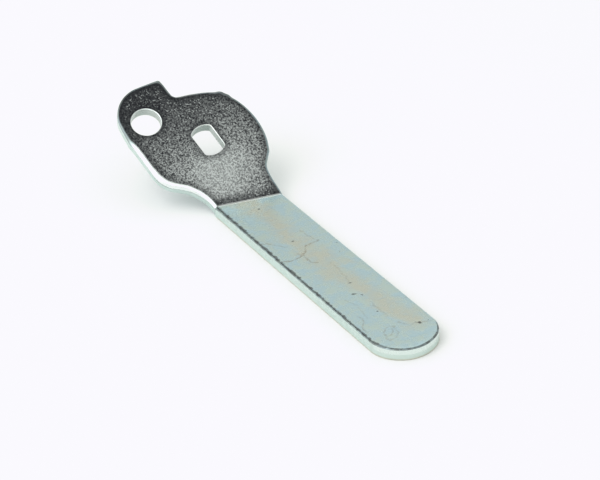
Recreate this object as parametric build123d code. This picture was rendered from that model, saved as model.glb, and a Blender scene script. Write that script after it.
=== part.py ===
from build123d import *
import math
import os

os.makedirs("parts", exist_ok=True)

# Quarter-turn plate lever, stamped from one sheet and folded once.
# Millimetres, +Z up. The underside of the straight handle lies on Z = 0 and the
# handle points along +X. The part is drawn with X = 0 at the inside line of the
# fold, and is moved at the end so that the origin is on the underside, at the
# centre of the handle's end radius.

# ---- driving dimensions -------------------------------------------------
SHEET_T = 3.0            # sheet thickness
HANDLE_W = 17.0          # width of the straight handle
HANDLE_STRAIGHT = 74.5   # fold line to the centre of the end radius
END_R = HANDLE_W / 2     # full-radius handle end
FOLD_ANGLE = 34.0        # head rises by this angle, degrees
FOLD_SKEW = 12.0         # fold line away from square to the handle, degrees
FOLD_INNER_R = 0.4       # inside radius of the fold

SLOT_CENTRE = (-19.7, -1.4)   # double-D slot centre, flat pattern
SLOT_D = 8.7             # across the round ends
SLOT_FLATS = 5.8         # across the flats
SLOT_CORNER_R = 0.5
SLOT_ANGLE = 7.0         # flats away from the handle axis, degrees

EAR_HOLE_CENTRE = (-30.7, -13.2)
EAR_HOLE_D = 7.6

ROLL_HEAD = 0.50         # rounded upper edge of the head outline
ROLL_HANDLE = 0.50       # rounded upper edge of the handle outline
ROLL_HOLES = 0.30        # rounded upper edge of both openings

# ---- frame of the tilted head ------------------------------------------
skew = math.radians(FOLD_SKEW)
tilt = math.radians(FOLD_ANGLE)
fold_dir = Vector(math.sin(skew), math.cos(skew), 0)      # along the fold line
away = Vector(-math.cos(skew), math.sin(skew), 0)         # flat, towards head
up_head = away * math.cos(tilt) + Vector(0, 0, 1) * math.sin(tilt)
fold_pt = Vector(0, 0, SHEET_T)


def flat_to_head(x, y):
    """Flat-pattern point (x, y) on the upper face of the tilted head."""
    s = x * away.X + y * away.Y
    h = x * fold_dir.X + y * fold_dir.Y
    return fold_pt + up_head * s + fold_dir * h


# The head is drawn in the flat pattern, extruded as a flat plate and then
# turned about the fold line, so both halves share one drawing.
half_w = HANDLE_W / 2
OVER = 5.0               # overlap past the fold line, trimmed off later

p_far0 = (OVER, half_w)
p_far1 = (-1.0, half_w)
p_far2 = (-3.6, half_w - 0.28)
p_far3 = (-9.0, half_w + 1.55)
p_disc_a = (-12.6, 12.15)
p_disc_b = (-28.7, 9.85)
p_nub_1 = (-29.6, 9.75)
p_nub_2 = (-31.5, 8.25)
p_nub_3 = (-31.85, 6.35)
p_disc_c = (-34.15, -2.35)
p_notch = (-34.55, -3.72)
p_stop = (-40.85, -4.55)
p_left = (-40.8, -9.6)
p_ear_b = (-31.2, -19.65)
p_ear_c = (-26.6, -19.62)
p_ear_d = (-25.4, -19.2)
p_near_a = (-16.0, -18.1)
p_near_b = (-10.4, -13.85)
p_near_c = (-0.2, -half_w)
p_near_d = (OVER, -half_w)

with BuildSketch() as head_sk:
    with BuildLine():
        Line(p_far0, p_far1)
        Line(p_far1, p_far2)
        ThreePointArc(p_far2, (-6.7, half_w + 0.15), p_far3)
        ThreePointArc(p_far3, (-10.8, 11.45), p_disc_a)
        ThreePointArc(p_disc_a, (-20.6, 12.7), p_disc_b)
        Line(p_disc_b, p_nub_1)
        Line(p_nub_1, p_nub_2)
        Line(p_nub_2, p_nub_3)
        ThreePointArc(p_nub_3, (-33.35, 1.7), p_disc_c)
        Line(p_disc_c, p_notch)
        Line(p_notch, p_stop)
        Line(p_stop, p_left)
        ThreePointArc(p_left, (-38.15, -17.05), p_ear_b)
        Line(p_ear_b, p_ear_c)
        Line(p_ear_c, p_ear_d)
        Line(p_ear_d, p_near_a)
        ThreePointArc(p_near_a, (-12.85, -16.75), p_near_b)
        ThreePointArc(p_near_b, (-6.0, -9.95), p_near_c)
        Line(p_near_c, p_near_d)
        Line(p_near_d, p_far0)
    make_face()

head_face = head_sk.sketch.faces()[0]


def corner(face, xy, r):
    v = min(face.vertices(), key=lambda q: math.hypot(q.X - xy[0], q.Y - xy[1]))
    try:
        return face.fillet_2d(r, [v])
    except Exception:
        return face


for xy, r in ((p_stop, 0.6), (p_notch, 0.9), (p_nub_1, 0.5), (p_nub_2, 0.6),
              (p_nub_3, 0.7), (p_disc_b, 0.8), (p_ear_d, 2.5), (p_ear_c, 1.5),
              (p_far2, 6.0)):
    head_face = corner(head_face, xy, r)

head_plate = extrude(head_face, SHEET_T, dir=(0, 0, 1))

# double-D slot and ear hole, cut square to the sheet
with BuildSketch() as slot_sk:
    Circle(SLOT_D / 2)
    Rectangle(SLOT_D * 1.4, SLOT_FLATS, mode=Mode.INTERSECT)
    fillet(slot_sk.vertices(), SLOT_CORNER_R)
slot_cut = extrude(slot_sk.sketch, SHEET_T + 4, dir=(0, 0, 1))
slot_cut = Pos(SLOT_CENTRE[0], SLOT_CENTRE[1], -2) * Rot(0, 0, SLOT_ANGLE) * slot_cut
hole_cut = Pos(EAR_HOLE_CENTRE[0], EAR_HOLE_CENTRE[1], SHEET_T / 2) * Cylinder(
    EAR_HOLE_D / 2, SHEET_T + 4)
head_plate = head_plate - slot_cut - hole_cut

handle_face = make_face(
    Polyline((HANDLE_STRAIGHT, half_w), (-OVER, half_w), (-OVER, -half_w),
             (HANDLE_STRAIGHT, -half_w)).edges()
    + ThreePointArc((HANDLE_STRAIGHT, -half_w), (HANDLE_STRAIGHT + END_R, 0),
                    (HANDLE_STRAIGHT, half_w)).edges()).faces()[0]
handle_plate = extrude(handle_face, SHEET_T, dir=(0, 0, 1))


def top_edges(solid, keep):
    out = []
    for e in solid.edges():
        c = e.center()
        if abs(c.Z - SHEET_T) < 1e-4 and e.bounding_box().size.Z < 1e-4 and keep(c):
            out.append(e)
    return out


def near(c, xy, r):
    return math.hypot(c.X - xy[0], c.Y - xy[1]) < r


def in_openings(c):
    return near(c, SLOT_CENTRE, SLOT_D / 2 + 0.5) or near(c, EAR_HOLE_CENTRE, EAR_HOLE_D / 2 + 0.5)


head_plate = fillet(top_edges(head_plate, in_openings), ROLL_HOLES)
head_plate = fillet(
    top_edges(head_plate, lambda c: not in_openings(c) and c.X < OVER - 0.01
              and not near(c, (OVER, 0), 1.0)), ROLL_HEAD)
handle_plate = fillet(
    top_edges(handle_plate, lambda c: c.X > -OVER + 0.01), ROLL_HANDLE)

# ---- the fold -----------------------------------------------------------
# Each plate stops where the fold begins. The cut end of the handle is swept
# round the fold's centre line to make the fold, and the head is turned about
# the fold line to meet it.
half = tilt / 2
run = FOLD_INNER_R * math.tan(half)                # fold line to each tangent
fwd = away * -1
plane_a = Plane(origin=fold_pt + fwd * run, x_dir=fold_dir, z_dir=fwd)
plane_b = Plane(origin=fold_pt + away * run, x_dir=fold_dir, z_dir=away)
handle_half = split(handle_plate, bisect_by=plane_a, keep=Keep.TOP)
head_half = split(head_plate, bisect_by=plane_b, keep=Keep.TOP)
head_half = head_half.rotate(Axis(fold_pt, fold_dir), FOLD_ANGLE)

end_face = min(handle_half.faces(),
               key=lambda f: abs((f.center() - plane_a.origin).dot(fwd))
               + (0 if abs(abs(f.normal_at(f.center()).dot(fwd)) - 1) < 1e-4 else 100))
fold_centre = fold_pt + fwd * run + Vector(0, 0, FOLD_INNER_R)
fold_piece = revolve(end_face, Axis(fold_centre, fold_dir), FOLD_ANGLE)
lever_plate = handle_half + fold_piece + head_half

solid = lever_plate.solids()[0].moved(Location((-HANDLE_STRAIGHT, 0, 0)))
solid.label = "lever_plate"
export_step(solid, "parts/lever_plate.step")

# ---- printed for the record --------------------------------------------
shift = Vector(-HANDLE_STRAIGHT, 0, 0)
head_n = fold_dir.cross(up_head)
if head_n.Z < 0:
    head_n = head_n * -1
bb = solid.bounding_box()
print("parts", handle_half.volume, fold_piece.volume, head_half.volume)
print("solids", len(lever_plate.solids()), "volume", round(solid.volume, 2))
print("bbox", bb.min, bb.max)
print("head normal", head_n)
print("slot axis point", flat_to_head(*SLOT_CENTRE) + shift - head_n * ((SHEET_T + ROLL_HOLES) / 2))
print("ear hole axis point", flat_to_head(*EAR_HOLE_CENTRE) + shift - head_n * ((SHEET_T + ROLL_HOLES) / 2))
mid_stop = ((p_notch[0] + p_stop[0]) / 2, (p_notch[1] + p_stop[1]) / 2)
ln = math.hypot(p_notch[0] - p_stop[0], p_notch[1] - p_stop[1])
stop_nx, stop_ny = -(p_notch[1] - p_stop[1]) / ln, (p_notch[0] - p_stop[0]) / ln
stop_n = flat_to_head(stop_nx, stop_ny) - fold_pt
print("stop shoulder point", flat_to_head(*mid_stop) + shift - head_n * 1.9, "normal", stop_n)
print("centre of mass", solid.center(CenterOf.MASS))
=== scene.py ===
import bpy
import math
import random
from mathutils import Matrix, Vector, kdtree, noise
from mathutils.geometry import delaunay_2d_cdt


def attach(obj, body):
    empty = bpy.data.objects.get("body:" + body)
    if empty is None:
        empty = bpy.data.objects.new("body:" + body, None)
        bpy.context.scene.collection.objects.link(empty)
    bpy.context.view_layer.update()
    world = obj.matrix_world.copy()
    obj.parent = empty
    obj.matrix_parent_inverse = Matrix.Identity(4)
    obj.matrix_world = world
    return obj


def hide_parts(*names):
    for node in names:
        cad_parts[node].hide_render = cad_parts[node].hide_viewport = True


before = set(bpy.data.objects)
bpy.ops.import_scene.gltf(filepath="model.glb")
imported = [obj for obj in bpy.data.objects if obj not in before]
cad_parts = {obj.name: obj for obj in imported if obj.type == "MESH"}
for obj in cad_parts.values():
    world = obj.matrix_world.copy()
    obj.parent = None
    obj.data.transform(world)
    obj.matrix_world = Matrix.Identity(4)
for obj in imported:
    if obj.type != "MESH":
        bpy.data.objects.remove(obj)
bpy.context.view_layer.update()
MM = 0.001
FILL = 0.96      # strength of the even light on the floor
KEY_W = 7.2     # watts of the soft key light

# ------------------------------------------------------------------ the plate
# The same drawing as the CAD part, in millimetres: X = 0 at the fold line here,
# and moved by -STRAIGHT at the end, as the CAD origin is.
T = 3.0
W2 = 8.5
STRAIGHT = 74.5
THETA = math.radians(34.0)
SKEW = math.radians(12.0)
R_IN = 0.4
FOLD = Vector((math.sin(SKEW), math.cos(SKEW)))
AWAY = Vector((-math.cos(SKEW), math.sin(SKEW)))
HALF_ARC = 0.5 * THETA * (R_IN + T / 2)      # half the drawn width of the fold
TRIM = R_IN * math.tan(THETA / 2)            # fold line to each tangent line


def line(p, q):
    n = max(2, int(math.dist(p, q) / 0.1) + 1)
    return [(p[0] + (q[0] - p[0]) * i / n, p[1] + (q[1] - p[1]) * i / n) for i in range(n)]


def arc3(p, m, q):
    ax, ay = p; bx, by = m; cx, cy = q
    d = 2 * (ax * (by - cy) + bx * (cy - ay) + cx * (ay - by))
    ux = ((ax * ax + ay * ay) * (by - cy) + (bx * bx + by * by) * (cy - ay) + (cx * cx + cy * cy) * (ay - by)) / d
    uy = ((ax * ax + ay * ay) * (cx - bx) + (bx * bx + by * by) * (ax - cx) + (cx * cx + cy * cy) * (bx - ax)) / d
    r = math.hypot(ax - ux, ay - uy)
    a0 = math.atan2(ay - uy, ax - ux)
    a1 = math.atan2(by - uy, bx - ux)
    a2 = math.atan2(cy - uy, cx - ux)
    ccw = ((a1 - a0) % (2 * math.pi)) < ((a2 - a0) % (2 * math.pi))
    sweep = (a2 - a0) % (2 * math.pi) if ccw else -((a0 - a2) % (2 * math.pi))
    n = max(4, int(abs(sweep) * r / 0.1) + 1)
    return [(ux + r * math.cos(a0 + sweep * i / n), uy + r * math.sin(a0 + sweep * i / n)) for i in range(n)]


pts = []
marks = []          # (xy, smoothing length) for the small corners


def add(seg):
    pts.extend(seg)


far0, far1, far2, far3 = (STRAIGHT, W2), (-1.0, W2), (-3.6, W2 - 0.28), (-9.0, W2 + 1.55)
disc_a, disc_b = (-12.6, 12.15), (-28.7, 9.85)
nub1, nub2, nub3 = (-29.6, 9.75), (-31.5, 8.25), (-31.85, 6.35)
disc_c, notch, stop = (-34.15, -2.35), (-34.55, -3.72), (-40.85, -4.55)
left, ear_b, ear_c, ear_d = (-40.8, -9.6), (-31.2, -19.65), (-26.6, -19.62), (-25.4, -19.2)
near_a, near_b, near_c, near_d = (-16.0, -18.1), (-10.4, -13.85), (-0.2, -W2), (STRAIGHT, -W2)
add(line(far0, far1))
add(line(far1, far2))
add(arc3(far2, (-6.7, W2 + 0.15), far3))
add(arc3(far3, (-10.8, 11.45), disc_a))
add(arc3(disc_a, (-20.6, 12.7), disc_b))
add(line(disc_b, nub1))
add(line(nub1, nub2))
add(line(nub2, nub3))
add(arc3(nub3, (-33.35, 1.7), disc_c))
add(line(disc_c, notch))
add(line(notch, stop))
add(line(stop, left))
add(arc3(left, (-38.15, -17.05), ear_b))
add(line(ear_b, ear_c))
add(line(ear_c, ear_d))
add(line(ear_d, near_a))
add(arc3(near_a, (-12.85, -16.75), near_b))
add(arc3(near_b, (-6.0, -9.95), near_c))
add(line(near_c, near_d))
add(arc3(near_d, (STRAIGHT + W2, 0.0), far0))
marks = [(stop, 0.50), (notch, 0.75), (nub1, 0.45), (nub2, 0.5), (nub3, 0.6), (disc_b, 0.7), (ear_d, 1.0),
         (ear_c, 0.8), (far2, 2.0), (far1, 1.5), (far3, 1.2), (disc_a, 1.5), (near_b, 1.2), (near_a, 1.2),
         (ear_b, 1.5), (left, 1.5), (disc_c, 0.5)]


def stretch(p):
    """Drawing -> drawing with the fold opened to its neutral length."""
    v = Vector(p)
    s, h = v.dot(AWAY), v.dot(FOLD)
    if s > TRIM:
        s += HALF_ARC - TRIM
    elif s < -TRIM:
        s -= HALF_ARC - TRIM
    else:
        s *= HALF_ARC / TRIM
    return AWAY * s + FOLD * h


def resample(loop, gap_at):
    """Evenly spaced points on a closed loop, with the spacing that gap_at asks for."""
    n = len(loop)
    cum = [0.0]
    for i in range(n):
        cum.append(cum[-1] + (loop[(i + 1) % n] - loop[i]).length / gap_at((loop[i] + loop[(i + 1) % n]) / 2))
    total = cum[-1]
    m = int(math.ceil(total))
    out, j = [], 0
    for k in range(m):
        t = total * k / m
        while cum[j + 1] < t:
            j += 1
        f = (t - cum[j]) / max(cum[j + 1] - cum[j], 1e-9)
        out.append(loop[j].lerp(loop[(j + 1) % n], f))
    return out


def smooth(loop, width_at, passes=1):
    """Gaussian smoothing along the loop; width_at(point) is the smoothing length in mm."""
    n = len(loop)
    seg = [(loop[(i + 1) % n] - loop[i]).length for i in range(n)]
    out = []
    for i in range(n):
        w = width_at(loop[i], i)
        if w < 0.02:
            out.append(loop[i].copy())
            continue
        acc, tot = loop[i].copy(), 1.0
        for sgn in (1, -1):
            d, j = 0.0, i
            while d < 2.6 * w:
                d += seg[j] if sgn > 0 else seg[j - 1]
                j = (j + sgn) % n
                k = math.exp(-0.5 * (d / w) ** 2)
                acc += loop[j] * k
                tot += k
        out.append(acc / tot)
    return out


def normals(loop):
    n = len(loop)
    res = []
    for i in range(n):
        t = (loop[(i + 1) % n] - loop[i - 1]).normalized()
        res.append(Vector((t.y, -t.x)))
    return res


outline = [stretch(p) for p in pts]
if sum(outline[i - 1].cross(outline[i]) for i in range(len(outline))) < 0:
    outline.reverse()
s_marks = [(stretch(p), w) for p, w in marks]


def corner_width(p, i):
    w = 0.12
    for q, r in s_marks:
        d = (p - q).length
        if d < 2.2 * r:
            w = max(w, r * (0.5 + 0.5 * math.cos(math.pi * d / (2.2 * r))))
    return w


def fold_s(p):
    return p.dot(AWAY)


def gap(p):
    g = 0.34 if p.x > 2.0 else 0.26
    for q, r in s_marks:
        if r < 1.0 and (p - q).length < 2.0:
            g = min(g, 0.14)
    if abs(fold_s(p)) < HALF_ARC + 0.15:
        g = 0.09
    return g


for p in outline:
    if p.x > STRAIGHT - 1.0:          # the end radius is a little flat towards the far corner
        f = max(0.0, min(1.0, (p.y + 3.0) / 9.0)) * max(0.0, min(1.0, (p.x - STRAIGHT + 1.0) / 5.0))
        p.x -= 0.42 * f * f * (3 - 2 * f)
outline = resample(outline, lambda p: 0.08)
outline = smooth(outline, corner_width)
outline = resample(outline, gap)

# the two openings, as closed loops with outward (into the opening) normals
SLOT_C, SLOT_R, SLOT_H, SLOT_A = Vector((-19.7, -1.4)), 4.35, 2.9, math.radians(7.0)
HOLE_C, HOLE_R = Vector((-30.7, -13.2)), 3.8


def slot_loop():
    raw = []
    a0 = math.asin(SLOT_H / SLOT_R)
    for c in (0.0, math.pi):
        for i in range(60):
            a = c - a0 + 2 * a0 * i / 60
            raw.append(Vector((SLOT_R * math.cos(a), SLOT_R * math.sin(a))))
        e = SLOT_R * math.cos(a0)
        y = SLOT_H if c == 0.0 else -SLOT_H
        x0, x1 = (e, -e) if c == 0.0 else (-e, e)
        for i in range(50):
            raw.append(Vector((x0 + (x1 - x0) * i / 50, y)))
    corners = [Vector((sx * SLOT_R * math.cos(a0), sy * SLOT_H)) for sx in (1, -1) for sy in (1, -1)]
    raw = resample(raw, lambda p: 0.06)
    raw = smooth(raw, lambda p, i: 0.32 if min((p - c).length for c in corners) < 1.0 else 0.1)
    raw = resample(raw, lambda p: 0.13 if min((p - c).length for c in corners) < 1.0 else 0.2)
    ca, sa = math.cos(SLOT_A), math.sin(SLOT_A)
    off = stretch(SLOT_C)
    return [Vector((p.x * ca - p.y * sa, p.x * sa + p.y * ca)) + off for p in raw]


def hole_loop():
    n = 128
    off = stretch(HOLE_C)
    return [Vector((HOLE_R * math.cos(2 * math.pi * i / n), HOLE_R * math.sin(2 * math.pi * i / n))) + off
            for i in range(n)]


def to_space(p, z):
    """Opened drawing point and height above the underside -> metres in the row frame."""
    s, h = p.dot(AWAY), p.dot(FOLD)
    base = Vector((0, 0, T)) + Vector((FOLD.x, FOLD.y, 0)) * h
    aw = Vector((AWAY.x, AWAY.y, 0))
    up = Vector((0, 0, 1))
    if s < -HALF_ARC:
        q = base + aw * (s + HALF_ARC - TRIM) + up * (z - T)
    elif s > HALF_ARC:
        u = aw * math.cos(THETA) + up * math.sin(THETA)
        nn = up * math.cos(THETA) - aw * math.sin(THETA)
        q = base + u * (s - HALF_ARC + TRIM) + nn * (z - T)
    else:
        phi = THETA * (s + HALF_ARC) / (2 * HALF_ARC)
        r = R_IN + T - z
        c = base - aw * TRIM + up * R_IN
        q = c + aw * (r * math.sin(phi)) - up * (r * math.cos(phi))
    return Vector(((q.x - STRAIGHT) * MM, q.y * MM, q.z * MM))


# Width of the rounded upper edge along the outline: blanking pulls the edge
# down more where the strip is narrow or turns outward.
ROLL_POINTS = [((STRAIGHT + W2, 0), 0.48), ((60, W2), 0.40), ((20, W2), 0.46), ((1, W2), 0.52), ((-6, 8.5), 0.6),
               ((-12.6, 12.1), 0.62), ((-20.6, 12.7), 0.62), ((-27, 10.6), 0.6), ((-28.9, 9.9), 0.9), ((-30.5, 9.0), 1.25), ((-31.7, 7.4), 1.0),
               ((-32.4, 4.5), 0.6), ((-34.0, -1.5), 0.6), ((-34.6, -3.7), 0.5), ((-38, -4.2), 0.62),
               ((-40.8, -4.8), 1.05), ((-40.8, -9.6), 0.6), ((-39.2, -15.5), 0.45), ((-35, -18.9), 0.45),
               ((-31.2, -19.6), 0.6), ((-28, -19.6), 0.75), ((-25, -19.2), 1.05), ((-20, -18.6), 1.15),
               ((-14, -17.4), 1.35), ((-10.4, -13.9), 1.25), ((-6, -10), 1.05), ((-2, -8.7), 0.85), ((1.5, -W2), 0.55),
               ((20, -W2), 0.50), ((60, -W2), 0.44)]
ROLL_POINTS = [(stretch(p), r) for p, r in ROLL_POINTS]


def roll_widths(loop):
    n = len(loop)
    idx = []
    for q, r in ROLL_POINTS:
        i = min(range(n), key=lambda k: (loop[k] - q).length)
        idx.append((i, r))
    idx.sort()
    out = [0.0] * n
    m = len(idx)
    for k in range(m):
        i0, r0 = idx[k]
        i1, r1 = idx[(k + 1) % m]
        span = (i1 - i0) % n or n
        for j in range(span):
            f = j / span
            f = f * f * (3 - 2 * f)
            out[(i0 + j) % n] = r0 + (r1 - r0) * f
    return out


# Blemishes on the handle's upper face, in the row frame's millimetres:
# dents and dark spots as (x, y, radius), hair scratches and stains as (x0, y0, x1, y1, half width, strength)
SPOTS = [
    (-20.10, -1.37, 0.62),
    (-18.65, 0.14, 0.40),
    (-25.14, 0.66, 0.38),
    (-50.15, -1.00, 0.36),
    (-69.08, -0.19, 0.36),
    (-43.65, 7.44, 0.30),
    (-39.11, 5.76, 0.28),
    (-0.38, 4.86, 0.55),
    (-11.66, 7.79, 0.30),
    (-10.16, -0.46, 0.35),
    (-19.68, -0.92, 0.40),
    (-0.95, 4.28, 0.30),
    (-0.20, 6.87, 0.25),
]
HAIRS = [
    (-53.55, -7.46, -50.93, -5.36, 0.20, 0.70),
    (-50.93, -5.36, -48.47, -3.66, 0.20, 0.70),
    (-47.03, 4.29, -46.36, 0.63, 0.22, 0.90),
    (-46.36, 0.63, -43.53, -1.36, 0.22, 0.90),
    (-43.53, -1.36, -42.18, -3.41, 0.22, 0.90),
    (-42.18, -3.41, -41.93, -5.69, 0.22, 0.90),
    (-41.93, -5.69, -42.70, -7.43, 0.22, 0.90),
    (-43.19, -2.20, -39.06, -2.30, 0.20, 0.70),
    (-39.06, -2.30, -37.62, -0.93, 0.20, 0.70),
    (-2.80, -2.91, -3.03, -1.72, 0.18, 0.60),
    (-3.03, -1.72, -1.26, -1.45, 0.18, 0.60),
    (-1.26, -1.45, 0.34, -2.92, 0.18, 0.60),
    (0.34, -2.92, 0.81, -4.50, 0.18, 0.60),
    (0.81, -4.50, -0.69, -4.40, 0.18, 0.60),
    (-0.69, -4.40, -2.80, -2.91, 0.18, 0.60),
    (1.05, -4.90, 2.30, -4.59, 0.18, 0.50),
    (2.30, -4.59, 1.97, -2.83, 0.18, 0.50),
    (1.97, -2.83, 0.00, -1.15, 0.18, 0.50),
    (0.00, -1.15, -2.51, -0.98, 0.18, 0.50),
    (-10.88, -5.32, -8.19, -5.29, 0.22, 0.60),
    (-8.19, -5.29, -5.80, -7.19, 0.22, 0.60),
    (-5.80, -7.19, -3.77, -7.31, 0.22, 0.60),
    (-3.36, 0.84, -1.05, 2.62, 0.18, 0.50),
    (-1.05, 2.62, -0.49, 4.93, 0.18, 0.50),
    (-0.49, 4.93, 0.56, 7.20, 0.18, 0.50),
    (-14.05, 0.20, -10.28, 0.14, 0.16, 0.40),
    (-10.28, 0.14, -6.94, 0.30, 0.16, 0.40),
    (-36.18, 1.52, -32.60, 1.68, 0.15, 0.35),
    (-32.60, 1.68, -25.82, 0.81, 0.15, 0.35),
    (-18.81, -4.24, -15.39, -3.27, 0.15, 0.30),
    (-15.39, -3.27, -8.80, -3.88, 0.15, 0.30),
    (-53.98, 3.16, -50.10, 3.51, 0.16, 0.40),
    (-50.10, 3.51, -47.12, 4.34, 0.16, 0.40),
]


def seg_dist(x, y, seg):
    x0, y0, x1, y1 = seg[:4]
    dx, dy = x1 - x0, y1 - y0
    t = max(0.0, min(1.0, ((x - x0) * dx + (y - y0) * dy) / (dx * dx + dy * dy)))
    return math.hypot(x - x0 - t * dx, y - y0 - t * dy)


def fall(d, w):
    f = max(0.0, min(1.0, (w - d) / (0.7 * w)))
    return f * f * (3 - 2 * f)


def blemish(x, y):
    wx = x + 0.45 * noise.noise(Vector((x * 0.9, y * 0.9, 2.2)))
    wy = y + 0.45 * noise.noise(Vector((x * 0.9, y * 0.9, 8.8)))
    spot = max(fall(math.hypot((wx - a) * 0.9, wy - b), r) for a, b, r in SPOTS)
    hair = max(k * fall(seg_dist(wx, wy, (x0, y0, x1, y1)), w + 0.12) for x0, y0, x1, y1, w, k in HAIRS)
    return spot, hair


def blemish_points():
    step = 0.2
    seen = set()
    for a, b, r in SPOTS:
        n = int((r + 0.6) / step) + 1
        for i in range(int(a / step) - n, int(a / step) + n + 1):
            for j in range(int(b / step) - n, int(b / step) + n + 1):
                if math.hypot(i * step - a, j * step - b) < r + 0.5:
                    seen.add((i, j))
    for seg in HAIRS:
        x0, x1 = sorted((seg[0], seg[2]))
        y0, y1 = sorted((seg[1], seg[3]))
        for i in range(int((x0 - 1) / step), int((x1 + 1) / step) + 1):
            for j in range(int((y0 - 1) / step), int((y1 + 1) / step) + 1):
                if seg_dist(i * step, j * step, seg) < seg[4] + 0.42:
                    seen.add((i, j))
    return [stretch((i * step + STRAIGHT + (0.5 * step if j % 2 else 0.0), j * step)) for i, j in sorted(seen)
            if abs(j * step) < W2 - 0.8]


verts, faces = [], []
flat_uv, edge_d, zone = [], [], []      # point attributes, all in mm


def put(p, z, d, k):
    verts.append(to_space(p, z))
    flat_uv.append((p.x, p.y, z))
    edge_d.append(d)
    zone.append(k)
    return len(verts) - 1


def wall(loop, rolls, drop_ratio, ragged, inward):
    """Rings from the upper face down the cut wall to the lower face. Returns the upper and lower inner rings.
    inward is +1 for the outline and -1 for an opening."""
    n = len(loop)
    rings = []
    steps = 9
    base_n = normals(loop)
    wav = [noise.noise(Vector((p.x * 0.55, p.y * 0.55, 3.1))) for p in loop]
    for j in range(steps + 1):
        f = math.radians(90.0 * j / steps)
        d_k = 1 - math.sin(f)
        mean_roll = sum(rolls) / n
        if d_k > 0.02 and inward > 0:
            sm = smooth(loop, lambda p, i: 0.75 * rolls[i] * d_k)
            nn = normals(sm)
        else:
            sm, nn = loop, base_n
        ring = []
        for i in range(n):
            r = rolls[i] * (1 + 0.08 * wav[i])
            p = sm[i] - nn[i] * (r * d_k)
            z = T - drop_ratio * r * (1 - math.cos(f))
            ring.append(put(p, z, r * d_k, 1.0 if 0 < j < steps else (0.0 if j == 0 else 2.0)))
        rings.append(ring)
    # burnished band, then the slightly proud torn band, then the lower edge
    prof = [(0.62, 0.0, 2.0), (0.50, 0.0, 2.0), (0.44, 0.012, 3.0), (0.34, 0.03, 3.0), (0.24, 0.035, 3.0),
            (0.14, 0.03, 3.0), (0.07, 0.015, 3.0), (0.03, -0.02, 4.0), (0.008, -0.06, 4.0), (0.0, -0.13, 4.0)]
    for zf, out, k in prof:
        ring = []
        for i in range(n):
            p = loop[i]
            rag = ragged * noise.noise(Vector((p.x * 2.3, p.y * 2.3, zf * 9.0))) if k == 3.0 else 0.0
            edge = ragged * 0.6 * noise.noise(Vector((p.x * 0.9, p.y * 0.9, 7.7))) if k in (2.0, 3.0) and zf > 0.4 else 0.0
            z = T * (zf + (edge if 0.4 < zf < 0.55 else 0.0))
            ring.append(put(p + base_n[i] * (out - 0.035 + rag * 0.6), max(z, 0.0), 0.0, k))
        rings.append(ring)
    for a, b in zip(rings[:-1], rings[1:]):
        for i in range(n):
            j = (i + 1) % n
            faces.append((a[i], b[i], b[j], a[j]))
    return rings[0], rings[-1]


slot_l, hole_l = slot_loop(), hole_loop()
slot_l.reverse()
hole_l.reverse()
top_rings, low_rings = [], []
out_rolls = roll_widths(outline)
for loop, rolls, inward in ((outline, out_rolls, 1), (slot_l, [0.26] * len(slot_l), -1), (hole_l, [0.28] * len(hole_l), -1)):
    if inward < 0:
        # the far sides of the openings carry the wider rounding
        c = sum(loop, Vector((0, 0))) / len(loop)
        away_dir = Vector((-0.76, 0.65))
        rolls = [r * (0.30 + 0.70 * (0.5 + 0.5 * (p - c).normalized().dot(away_dir))) for r, p in zip(rolls, loop)]
    t_r, l_r = wall(loop, rolls, 0.9 if inward < 0 else 0.85, 0.05, inward)
    top_rings.append(t_r)
    low_rings.append(l_r)


def fill(rings, z, top):
    """Triangulates one flat side between the outline's ring and the openings' rings."""
    co, edges, owner = [], [], []
    for ring in rings:
        start = len(co)
        for k, v in enumerate(ring):
            co.append(Vector(flat_uv[v][:2]))
            owner.append(v)
            edges.append((start + k, start + (k + 1) % len(ring)))
    polys = [[Vector(flat_uv[v][:2]) for v in ring] for ring in rings]

    def inside(p, poly):
        c = False
        n = len(poly)
        for i in range(n):
            a, b = poly[i], poly[i - 1]
            if (a.y > p.y) != (b.y > p.y) and p.x < (b.x - a.x) * (p.y - a.y) / (b.y - a.y) + a.x:
                c = not c
        return c

    def clear(p, r):
        r2 = r * r
        return all((q - p).length_squared > r2 for poly in polys for q in poly)

    rows = []
    s = -HALF_ARC
    while s <= HALF_ARC + 1e-6:
        rows.append((s, 0.5))
        s += HALF_ARC / 7
    for k in range(1, 4):
        rows.append((HALF_ARC + 0.35 * k, 0.8))
        rows.append((-HALF_ARC - 0.35 * k, 0.8))
    s = HALF_ARC + 2.0
    while s < 46:
        rows.append((s, 1.1))
        s += 1.0
    s = -HALF_ARC - 2.4
    while s > -90:
        rows.append((s, 2.0))
        s -= 1.9
    extra = blemish_points() if top else []
    taken = {(round(p.x / 0.5), round(p.y / 0.5)) for p in extra}
    for k, (s, g) in enumerate(rows):
        h = -24.0 + (0.5 * g if k % 2 else 0.0)
        while h < 24:
            p = AWAY * s + FOLD * h
            near_key = (round(p.x / 0.5), round(p.y / 0.5))
            if near_key not in taken and inside(p, polys[0]) and not inside(p, polys[1]) and not inside(p, polys[2]) and clear(p, 0.45 * min(g, 0.6)):
                extra.append(p)
            h += g
    for p in extra:
        owner.append(put(p, z, 1.0, 0.0 if top else 5.0))
        co.append(p)
    res = delaunay_2d_cdt(co, edges, [], 1, 1e-6, True)
    vv, _, tris, orig = res[0], res[1], res[2], res[3]
    made = 0
    for tri in tris:
        c = (vv[tri[0]] + vv[tri[1]] + vv[tri[2]]) / 3
        if not inside(c, polys[0]) or inside(c, polys[1]) or inside(c, polys[2]):
            continue
        ids = [owner[orig[i][0]] for i in tri]
        if len(set(ids)) < 3:
            continue
        faces.append(tuple(ids) if top else tuple(reversed(ids)))
        made += 1
    return made


fill(top_rings, T, True)
fill(low_rings, 0.0, False)

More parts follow.
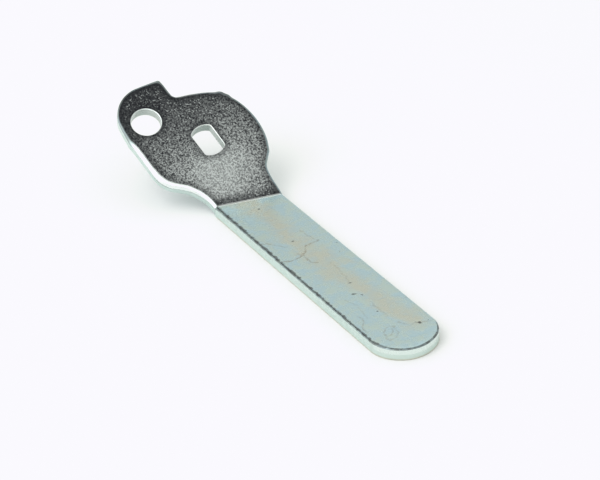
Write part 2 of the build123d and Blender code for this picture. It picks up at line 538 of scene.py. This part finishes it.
rim = kdtree.KDTree(sum(len(r) for r in top_rings))
for k, v in enumerate(v for r in top_rings for v in r):
    rim.insert((flat_uv[v][0], flat_uv[v][1], 0.0), k)
rim.balance()
edge_mm = [rim.find((u[0], u[1], 0.0))[2] if k == 0.0 else 0.0 for u, k in zip(flat_uv, zone)]

mesh = bpy.data.meshes.new("plate_mesh")
mesh.from_pydata(verts, [], faces)
mesh.validate()
import bmesh
bm = bmesh.new()
bm.from_mesh(mesh)
bmesh.ops.recalc_face_normals(bm, faces=bm.faces)
bm.to_mesh(mesh)
bm.free()
marks_at = [blemish(v.x / MM, v.y / MM) if k == 0.0 and v.x / MM > -STRAIGHT + 1 else (0.0, 0.0)
            for v, k in zip(verts, zone)]
for name, kind, data in (("flat", "FLOAT_VECTOR", flat_uv), ("zone", "FLOAT", zone), ("edge_mm", "FLOAT", edge_mm),
                         ("spot", "FLOAT", [m[0] for m in marks_at]), ("hair", "FLOAT", [m[1] for m in marks_at])):
    a = mesh.attributes.new(name, kind, "POINT")
    key = "vector" if kind == "FLOAT_VECTOR" else "value"
    flat = [c for v in data for c in v] if kind == "FLOAT_VECTOR" else list(data)
    a.data.foreach_set(key, flat)
for poly in mesh.polygons:
    poly.use_smooth = True
plate = bpy.data.objects.new("lever_plate_finish", mesh)
bpy.context.scene.collection.objects.link(plate)
open_edges = sum(1 for e in mesh.edges if False)
print("plate mesh", len(mesh.vertices), "verts", len(mesh.polygons), "faces")

# ------------------------------------------------------------------ material
mat = bpy.data.materials.new("zinc_plated_steel")
mat.use_nodes = True
nt = mat.node_tree
nt.nodes.clear()


def sock(x, target):
    if hasattr(x, "is_output"):
        nt.links.new(x, target)
    else:
        target.default_value = x


def math_n(op, a, b=None, c=None, clamp=False):
    n = nt.nodes.new("ShaderNodeMath")
    n.operation = op
    n.use_clamp = clamp
    sock(a, n.inputs[0])
    if b is not None:
        sock(b, n.inputs[1])
    if c is not None:
        sock(c, n.inputs[2])
    return n.outputs[0]


def vmath(op, a, b=None, scale=None):
    n = nt.nodes.new("ShaderNodeVectorMath")
    n.operation = op
    sock(a, n.inputs[0])
    if b is not None:
        sock(b, n.inputs[1])
    if scale is not None:
        sock(scale, n.inputs["Scale"])
    return n.outputs["Value"] if op in ("DOT_PRODUCT", "DISTANCE", "LENGTH") else n.outputs["Vector"]


def step_n(x, lo, hi, out_lo=0.0, out_hi=1.0):
    """Smooth change of x from lo to hi."""
    n = nt.nodes.new("ShaderNodeMapRange")
    n.interpolation_type = "SMOOTHSTEP"
    sock(x, n.inputs["Value"])
    n.inputs["From Min"].default_value = lo
    n.inputs["From Max"].default_value = hi
    n.inputs["To Min"].default_value = out_lo
    n.inputs["To Max"].default_value = out_hi
    return n.outputs["Result"]


def noise_n(vec, scale, detail=2.0, rough=0.5, distort=0.0):
    n = nt.nodes.new("ShaderNodeTexNoise")
    sock(vec, n.inputs["Vector"])
    n.inputs["Scale"].default_value = scale
    n.inputs["Detail"].default_value = detail
    n.inputs["Roughness"].default_value = rough
    n.inputs["Distortion"].default_value = distort
    return n.outputs["Fac"]


def noise_col(vec, scale, detail=2.0):
    n = nt.nodes.new("ShaderNodeTexNoise")
    sock(vec, n.inputs["Vector"])
    n.inputs["Scale"].default_value = scale
    n.inputs["Detail"].default_value = detail
    return n.outputs["Color"]


def mix_n(fac, a, b):
    n = nt.nodes.new("ShaderNodeMix")
    n.data_type = "RGBA"
    sock(fac, n.inputs[0])
    sock(a, n.inputs[6])
    sock(b, n.inputs[7])
    return n.outputs[2]


def rgb(r, g, b):
    return (r, g, b, 1.0)


out = nt.nodes.new("ShaderNodeOutputMaterial")
bsdf = nt.nodes.new("ShaderNodeBsdfPrincipled")
bsdf.inputs["Metallic"].default_value = 1.0
nt.links.new(bsdf.outputs[0], out.inputs[0])
tc = nt.nodes.new("ShaderNodeTexCoord")
pos = vmath("SCALE", tc.outputs["Object"], scale=1000.0)          # millimetres
sep_p = nt.nodes.new("ShaderNodeSeparateXYZ")
nt.links.new(pos, sep_p.inputs[0])
px, py, pz = sep_p.outputs
zone_a = nt.nodes.new("ShaderNodeAttribute")
zone_a.attribute_name = "zone"
zn = zone_a.outputs["Fac"]

# masks
s_fold = math_n("ADD", math_n("MULTIPLY", math_n("ADD", px, STRAIGHT), AWAY.x), math_n("MULTIPLY", py, AWAY.y))
head_m = step_n(s_fold, 0.05, 0.35)
wall_m = math_n("MULTIPLY", step_n(zn, 1.35, 1.9), step_n(zn, 4.2, 5.0, 1.0, 0.0))
roll_m = math_n("MULTIPLY", step_n(zn, 0.05, 0.6), step_n(zn, 1.2, 1.9, 1.0, 0.0))
near_m = step_n(py, 1.0, -3.0)
flat_m = math_n("SUBTRACT", 1.0, step_n(zn, 0.1, 0.8))

# colour of the passivated zinc
big = noise_n(pos, 0.085, 3.0, 0.55, 0.6)
mid = noise_n(pos, 0.35, 3.0, 0.6, 0.4)
fine = noise_n(pos, 2.6, 3.0, 0.6)
grain = noise_n(pos, 1.9, 2.0, 0.55)
band_y = math_n("ABSOLUTE", math_n("ADD", math_n("SUBTRACT", math_n("ADD", py, 0.4), step_n(px, -55.0, 0.0, 0.0, 4.2)),
                                   math_n("MULTIPLY", math_n("SUBTRACT", big, 0.5), 13.0)))
beige_m = math_n("MULTIPLY", step_n(band_y, 5.4, 0.4), step_n(px, 4.0, -3.0))
beige_m = math_n("MULTIPLY", beige_m, step_n(mid, 0.25, 0.65, 0.55, 1.0))
blue = rgb(0.535, 0.710, 0.750)
green = rgb(0.582, 0.712, 0.662)
beige = rgb(0.635, 0.665, 0.565)
face = mix_n(step_n(mid, 0.36, 0.66), blue, green)
face = mix_n(beige_m, face, beige)
edge_a = nt.nodes.new("ShaderNodeAttribute")
edge_a.attribute_name = "edge_mm"
edge = edge_a.outputs["Fac"]
# painted shade and reflection: the head is painted dark, as if mirroring a dark overhead, darkest by its rims, its fold
# and the ear, with a painted lighter patch low in the middle; its fine speckle is grain mixed with painted glints
soft = vmath("ADD", pos, vmath("SCALE", vmath("SUBTRACT", noise_col(pos, 0.16), (0.5, 0.5, 0.5)), scale=7.0))
lit_low_centre = step_n(vmath("DISTANCE", vmath("MULTIPLY", soft, (1.0, 0.85, 0.0)), (-82.5, -2.6, 0.0)), 13.5, 1.0)
soft_x = nt.nodes.new("ShaderNodeSeparateXYZ")
nt.links.new(soft, soft_x.inputs[0])
lit_away_from_ear = step_n(soft_x.outputs[0], -108.0, -84.0)
head_shade_and_grain = math_n("ADD", 0.055, math_n("MULTIPLY", lit_away_from_ear, 0.38))
head_shade_and_grain = math_n("ADD", head_shade_and_grain, math_n("MULTIPLY", lit_low_centre, 0.36))
# painted shade towards the rims and along the fold
head_shade_and_grain = math_n("MULTIPLY", head_shade_and_grain, step_n(edge, 0.1, 2.4, 0.50, 1.0))
head_shade_and_grain = math_n("MULTIPLY", head_shade_and_grain, step_n(s_fold, 0.5, 3.2, 0.24, 1.0))
pepper = math_n("ADD", math_n("MULTIPLY", fine, 0.62), math_n("MULTIPLY", grain, 0.38))
salt = step_n(pepper, 0.41, 0.60)
head_shade_and_grain = math_n("MULTIPLY", head_shade_and_grain, math_n("ADD", math_n("MULTIPLY", salt, math_n("SUBTRACT", 1.85, math_n("MULTIPLY", lit_low_centre, 1.05))),
                                     math_n("MULTIPLY", lit_low_centre, 0.50)))
# painted glints: bright specks added to the head's colour
painted_glint = step_n(noise_n(pos, 2.3, 2.0, 0.6), 0.57, 0.68)
head_shade_and_grain = math_n("ADD", head_shade_and_grain, math_n("MULTIPLY", math_n("MULTIPLY", painted_glint, 0.62), step_n(edge, 0.1, 1.5)), clamp=True)
# painted shade and reflection tone of the head's upper face, from near black to pale
head_shade_col = mix_n(head_shade_and_grain, rgb(0.035, 0.038, 0.045), rgb(0.94, 1.0, 0.98))
face = mix_n(math_n("MULTIPLY", head_m, flat_m), face, head_shade_col)
flat_p = vmath("MULTIPLY", pos, (1.0, 1.0, 0.0))
open_m = math_n("MAXIMUM", step_n(vmath("DISTANCE", flat_p, (-101.567, -13.972, 0.0)), 5.9, 5.2),
                step_n(vmath("DISTANCE", flat_p, (-91.956, -1.877, 0.0)), 6.8, 6.2))
wallcol = mix_n(step_n(noise_n(pos, 0.5, 2.0), 0.35, 0.65), rgb(0.610, 0.735, 0.690), rgb(0.650, 0.765, 0.725))
# painted shade: the walls of the slot and the hole are greyer and darker
wallcol = mix_n(open_m, wallcol, rgb(0.50, 0.55, 0.52))
# painted reflection tone: streaky tint on the wall round the tip
tip_m = step_n(px, -0.25, 0.35)
stripes = noise_n(vmath("MULTIPLY", pos, (1.0, 1.0, 0.25)), 0.38, 2.0)
wallcol = mix_n(math_n("MULTIPLY", tip_m, step_n(stripes, 0.34, 0.56, 0.35, 1.0)), wallcol, rgb(0.62, 0.73, 0.68))
col = mix_n(wall_m, face, wallcol)

# painted reflection of the floor's contact shadow: a brownish band along the lower arris
contact_shadow_m = math_n("MULTIPLY", step_n(pz, 0.62, 0.2), step_n(zn, 1.35, 1.9))
contact_shadow_m = math_n("MULTIPLY", contact_shadow_m, step_n(s_fold, 0.5, -0.5))
contact_shadow_m = math_n("MULTIPLY", contact_shadow_m, step_n(zn, 4.95, 4.55))      # the flat underside keeps its plating colour
col = mix_n(math_n("MULTIPLY", contact_shadow_m, 0.85), col, rgb(0.60, 0.60, 0.50))

# the broken dark line where the rounded edge meets the cut: a painted dark reflection, with a slight groove in the
# relief
line_m = math_n("SUBTRACT", 1.0, math_n("MULTIPLY", math_n("ABSOLUTE", math_n("SUBTRACT", zn, 1.62)), 2.6), clamp=True)
broken = step_n(noise_n(pos, 0.42, 3.0, 0.6), 0.47, 0.53)
tipbits = math_n("MULTIPLY", step_n(px, 4.5, 6.0), step_n(noise_n(pos, 1.3, 2.0), 0.50, 0.56))
headbits = math_n("MULTIPLY", math_n("MULTIPLY", head_m, near_m), broken)
line_m = math_n("MULTIPLY", line_m, math_n("ADD", headbits, tipbits, clamp=True))
col = mix_n(math_n("MULTIPLY", line_m, 0.9), col, rgb(0.09, 0.09, 0.08))

top_head = math_n("MULTIPLY", head_m, flat_m)
tiny = step_n(noise_n(pos, 3.4, 2.0, 0.6), 0.62, 0.72)
tiny = math_n("MULTIPLY", tiny, math_n("MULTIPLY", math_n("SUBTRACT", flat_m, top_head), 0.20))
col = mix_n(tiny, col, rgb(0.40, 0.42, 0.40))

# painted shade and highlight: the rounded edge of the handle is painted dark and patchy, as a dark reflection, and that
# of the head's near side gets a painted highlight
hand_roll_shade = math_n("MULTIPLY", roll_m, math_n("SUBTRACT", 1.0, head_m))
hand_roll_shade = math_n("MULTIPLY", hand_roll_shade, math_n("MAXIMUM", step_n(py, 2.0, -5.0), step_n(px, 0.0, 3.0)))
roll_shade_noise = noise_n(pos, 0.9, 3.0, 0.6)
roll_shade_amount = step_n(roll_shade_noise, 0.35, 0.6, 0.50, 0.88)
# painted shade: a dark band along the near edge of the handle's upper face
near_edge_shade = math_n("SUBTRACT", math_n("MULTIPLY", edge, 1.7), math_n("MULTIPLY", math_n("SUBTRACT", roll_shade_noise, 0.5), 2.4))
near_edge_shade = math_n("MULTIPLY", step_n(near_edge_shade, 0.52, 0.18), math_n("MULTIPLY", flat_m, step_n(py, -3.0, -7.0)))
near_edge_shade = math_n("MULTIPLY", near_edge_shade, math_n("SUBTRACT", 1.0, head_m))
hand_roll_shade = math_n("MAXIMUM", hand_roll_shade, math_n("MULTIPLY", near_edge_shade, step_n(px, 6.0, 2.0)))
col = mix_n(math_n("MULTIPLY", hand_roll_shade, roll_shade_amount), col, rgb(0.13, 0.14, 0.14))
# painted highlight: a pale band on the wall round the tip
tip_highlight = math_n("MULTIPLY", step_n(zn, 1.1, 1.5), step_n(zn, 2.2, 1.8))
col = mix_n(math_n("MULTIPLY", math_n("MULTIPLY", tip_highlight, step_n(px, 0.5, 2.0)), 0.7), col, rgb(0.92, 0.98, 0.96))
# painted shade: the head's far rounded edge is darkened
far_roll_shade = math_n("MULTIPLY", math_n("MULTIPLY", roll_m, head_m), math_n("MULTIPLY", step_n(py, -7.0, -1.0), math_n("SUBTRACT", 1.0, open_m)))
col = mix_n(math_n("MULTIPLY", far_roll_shade, 0.55), col, rgb(0.20, 0.23, 0.25))
# painted shade: the ear's rounded edge is darkened
ear_roll_shade = math_n("MULTIPLY", math_n("MULTIPLY", roll_m, step_n(px, -96.0, -99.5)), math_n("SUBTRACT", 1.0, open_m))
col = mix_n(math_n("MULTIPLY", ear_roll_shade, 0.75), col, rgb(0.16, 0.17, 0.18))
# painted highlight: the head's near rounded edge and the rims of the openings are painted near white
near_roll_highlight = math_n("MULTIPLY", math_n("MULTIPLY", roll_m, head_m), step_n(py, -1.0, -6.0))
near_roll_highlight = math_n("MULTIPLY", near_roll_highlight, step_n(px, -98.5, -95.5))
near_roll_highlight = math_n("MAXIMUM", near_roll_highlight, math_n("MULTIPLY", roll_m, open_m))
# painted highlight: a pale line along the fold
fold_highlight = math_n("MULTIPLY", step_n(math_n("ABSOLUTE", math_n("SUBTRACT", s_fold, 0.1)), 0.34, 0.12), flat_m)
col = mix_n(math_n("MULTIPLY", fold_highlight, 0.65), col, rgb(0.92, 0.96, 0.94))
col = mix_n(math_n("MULTIPLY", near_roll_highlight, 0.8), col, rgb(0.93, 0.97, 0.95))

spot_a = nt.nodes.new("ShaderNodeAttribute")
spot_a.attribute_name = "spot"
spot_m = spot_a.outputs["Fac"]
hair_a = nt.nodes.new("ShaderNodeAttribute")
hair_a.attribute_name = "hair"
hair_m = hair_a.outputs["Fac"]
top_only = math_n("MULTIPLY", flat_m, step_n(pz, 1.5, 2.5))
hair_m = math_n("MULTIPLY", math_n("MULTIPLY", hair_m, step_n(noise_n(pos, 1.4, 2.0), 0.36, 0.56, 0.25, 1.0)), top_only)
spot_m = math_n("MULTIPLY", spot_m, top_only)
col = mix_n(math_n("MULTIPLY", hair_m, 0.62), col, rgb(0.30, 0.25, 0.18))
col = mix_n(math_n("MULTIPLY", spot_m, 0.9), col, rgb(0.11, 0.115, 0.12))
nt.links.new(col, bsdf.inputs["Base Color"])

# roughness
haze = step_n(vmath("DISTANCE", vmath("MULTIPLY", pos, (1.0, 1.0, 0.0)), (-84.5, -3.0, 0.0)), 13.0, 3.0)
r_head = math_n("ADD", 0.20, math_n("MULTIPLY", haze, 0.14))
r_head = math_n("ADD", r_head, math_n("MULTIPLY", math_n("SUBTRACT", mid, 0.5), 0.12))
r_hand = math_n("ADD", 0.27, math_n("MULTIPLY", math_n("SUBTRACT", mid, 0.5), 0.14))
rough = math_n("ADD", math_n("MULTIPLY", head_m, r_head), math_n("MULTIPLY", math_n("SUBTRACT", 1.0, head_m), r_hand))
rough = math_n("ADD", rough, math_n("MULTIPLY", math_n("MULTIPLY", wall_m, step_n(zn, 2.2, 3.0)), 0.10))
rough = math_n("ADD", rough, math_n("MULTIPLY", math_n("MAXIMUM", spot_m, line_m), 0.3))
nt.links.new(rough, bsdf.inputs["Roughness"])

# relief: the grain of the sheet, soft waviness, dents
amp = math_n("ADD", math_n("MULTIPLY", top_head, 0.050), 0.010)
h = math_n("MULTIPLY", math_n("SUBTRACT", grain, 0.5), amp)
h = math_n("ADD", h, math_n("MULTIPLY", math_n("SUBTRACT", fine, 0.5), math_n("MULTIPLY", amp, 0.5)))
h = math_n("ADD", h, math_n("MULTIPLY", math_n("SUBTRACT", mid, 0.5), 0.03))
h = math_n("SUBTRACT", h, math_n("MULTIPLY", spot_m, 0.05))
h = math_n("SUBTRACT", h, math_n("MULTIPLY", hair_m, 0.008))
h = math_n("SUBTRACT", h, math_n("MULTIPLY", line_m, 0.04))
bump = nt.nodes.new("ShaderNodeBump")
bump.inputs["Strength"].default_value = 1.0
bump.inputs["Distance"].default_value = 0.001
nt.links.new(h, bump.inputs["Height"])
nt.links.new(bump.outputs[0], bsdf.inputs["Normal"])
mesh.materials.append(mat)

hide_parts("lever_plate")
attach(plate, "root")

# ------------------------------------------------------------------ floor
fm = bpy.data.meshes.new("floor_mesh")
fm.from_pydata([(-3, -3, 0), (3, -3, 0), (3, 3, 0), (-3, 3, 0)], [], [(0, 1, 2, 3)])
floor = bpy.data.objects.new("floor", fm)
bpy.context.scene.collection.objects.link(floor)
fmat = bpy.data.materials.new("pale_floor")
fmat.use_nodes = True
fb = fmat.node_tree.nodes["Principled BSDF"]
fb.inputs["Base Color"].default_value = (0.86, 0.86, 0.87, 1)
fb.inputs["Roughness"].default_value = 0.9
fb.inputs["Specular IOR Level"].default_value = 0.1
fm.materials.append(fmat)

# ------------------------------------------------------------------ camera
cam_data = bpy.data.cameras.new("camera")
cam = bpy.data.objects.new("camera", cam_data)
bpy.context.scene.collection.objects.link(cam)
bpy.context.scene.camera = cam
CAM_R = ((0.4789, 0.87531, -0.06702), (0.40177, -0.28641, -0.8698), (-0.78053, 0.38962, -0.48884))
CAM_POS = (0.44223, -0.24474, 0.31106)
F_PX = 2621.4
rx, ry, rz = (Vector(v) for v in CAM_R)
m = Matrix((( rx.x, -ry.x, -rz.x, CAM_POS[0]),
            ( rx.y, -ry.y, -rz.y, CAM_POS[1]),
            ( rx.z, -ry.z, -rz.z, CAM_POS[2]),
            (0, 0, 0, 1)))
cam.matrix_world = m
cam_data.sensor_width = 36.0
cam_data.sensor_fit = "HORIZONTAL"
cam_data.lens = F_PX / 600.0 * 36.0
cam_data.clip_start = 0.01
cam_data.clip_end = 20.0

# ------------------------------------------------------------------ light
world = bpy.data.worlds.new("studio")
bpy.context.scene.world = world
world.use_nodes = True
wt = world.node_tree
wt.nodes.clear()


def wsock(x, target):
    if hasattr(x, "is_output"):
        wt.links.new(x, target)
    else:
        target.default_value = x


def wmath(op, a, b=None, clamp=False):
    n = wt.nodes.new("ShaderNodeMath")
    n.operation = op
    n.use_clamp = clamp
    wsock(a, n.inputs[0])
    if b is not None:
        wsock(b, n.inputs[1])
    return n.outputs[0]


def direction(az, el):
    a, b = math.radians(az), math.radians(el)
    return (math.cos(a) * math.cos(b), math.sin(a) * math.cos(b), math.sin(b))


wtc = wt.nodes.new("ShaderNodeTexCoord")
wdir = wtc.outputs["Generated"]
wsep = wt.nodes.new("ShaderNodeSeparateXYZ")
wt.links.new(wdir, wsep.inputs[0])


def wramp(x, stops):
    n = wt.nodes.new("ShaderNodeFloatCurve")
    c = n.mapping.curves[0]
    c.points[0].location = stops[0]
    c.points[1].location = stops[-1]
    for st in stops[1:-1]:
        c.points.new(*st)
    for q in c.points:
        q.handle_type = "VECTOR"
    n.mapping.update()
    wsock(x, n.inputs["Value"])
    return n.outputs[0]


def box(az, el, core, fade):
    n = wt.nodes.new("ShaderNodeVectorMath")
    n.operation = "DOT_PRODUCT"
    wt.links.new(wdir, n.inputs[0])
    n.inputs[1].default_value = direction(az, el)
    m = wt.nodes.new("ShaderNodeMapRange")
    m.interpolation_type = "SMOOTHSTEP"
    wt.links.new(n.outputs["Value"], m.inputs["Value"])
    m.inputs["From Min"].default_value = math.cos(math.radians(fade))
    m.inputs["From Max"].default_value = math.cos(math.radians(core))
    return m.outputs["Result"]


# what the metal mirrors: a pale room, dark overhead, one dark flag, two soft boxes
sky = wramp(wmath("MAXIMUM", wsep.outputs["Z"], 0.0),
            [(0.0, 0.90), (0.12, 0.84), (0.30, 0.69), (0.60, 0.67), (0.75, 0.66), (0.85, 0.58), (0.93, 0.50), (1.0, 0.46)])
sky = wmath("MULTIPLY", sky, wmath("SUBTRACT", 1.0, wmath("MULTIPLY", box(196, 30, 15, 27), 0.80)))
sky = wmath("ADD", sky, wmath("MULTIPLY", box(250, 26, 30, 48), 1.0))
sky = wmath("ADD", sky, wmath("MULTIPLY", box(148, 50, 5, 15), 0.80))
sky = wmath("ADD", sky, wmath("MULTIPLY", box(318, 42, 18, 36), 0.70))
lp = wt.nodes.new("ShaderNodeLightPath")
studio = wt.nodes.new("ShaderNodeBackground")
wt.links.new(sky, studio.inputs["Strength"])
studio.inputs["Color"].default_value = (0.99, 1.0, 0.985, 1)
fill = wt.nodes.new("ShaderNodeBackground")
fill.inputs["Color"].default_value = (0.965, 1.0, 0.955, 1)
fill.inputs["Strength"].default_value = FILL
mix1 = wt.nodes.new("ShaderNodeMixShader")
wt.links.new(lp.outputs["Is Diffuse Ray"], mix1.inputs[0])
wt.links.new(studio.outputs[0], mix1.inputs[1])
wt.links.new(fill.outputs[0], mix1.inputs[2])
back = wt.nodes.new("ShaderNodeBackground")
back.inputs["Color"].default_value = (0.956, 0.949, 0.985, 1)
mix2 = wt.nodes.new("ShaderNodeMixShader")
wt.links.new(lp.outputs["Is Camera Ray"], mix2.inputs[0])
wt.links.new(mix1.outputs[0], mix2.inputs[1])
wt.links.new(back.outputs[0], mix2.inputs[2])
wo = wt.nodes.new("ShaderNodeOutputWorld")
wt.links.new(mix2.outputs[0], wo.inputs[0])

key_data = bpy.data.lights.new("key", "AREA")
key_data.shape = "SQUARE"
key_data.size = 1.1
key_data.energy = KEY_W
key_data.color = (1.0, 0.95, 1.0)
key = bpy.data.objects.new("key", key_data)
bpy.context.scene.collection.objects.link(key)
key.location = (0.05, -0.85, 1.15)
key.rotation_euler = (Vector((-0.04, 0, 0)) - Vector(key.location)).to_track_quat("-Z", "Y").to_euler()
key.visible_glossy = False

scene = bpy.context.scene
scene.view_settings.view_transform = "Standard"
scene.view_settings.look = "None"
scene.view_settings.exposure = 0.0
scene.view_settings.gamma = 1.0
# whites stop just short of paper white, as the backdrop does
scene.view_settings.use_curve_mapping = True
cm = scene.view_settings.curve_mapping
for k, top in enumerate((0.956, 0.949, 0.991)):
    c = cm.curves[k]
    c.points[0].location = (0.0, 0.0)
    c.points[1].location = (1.0, top)
    c.points.new(0.90, 0.90)
    for q in c.points:
        q.handle_type = "VECTOR"
cm.extend = "HORIZONTAL"
cm.update()
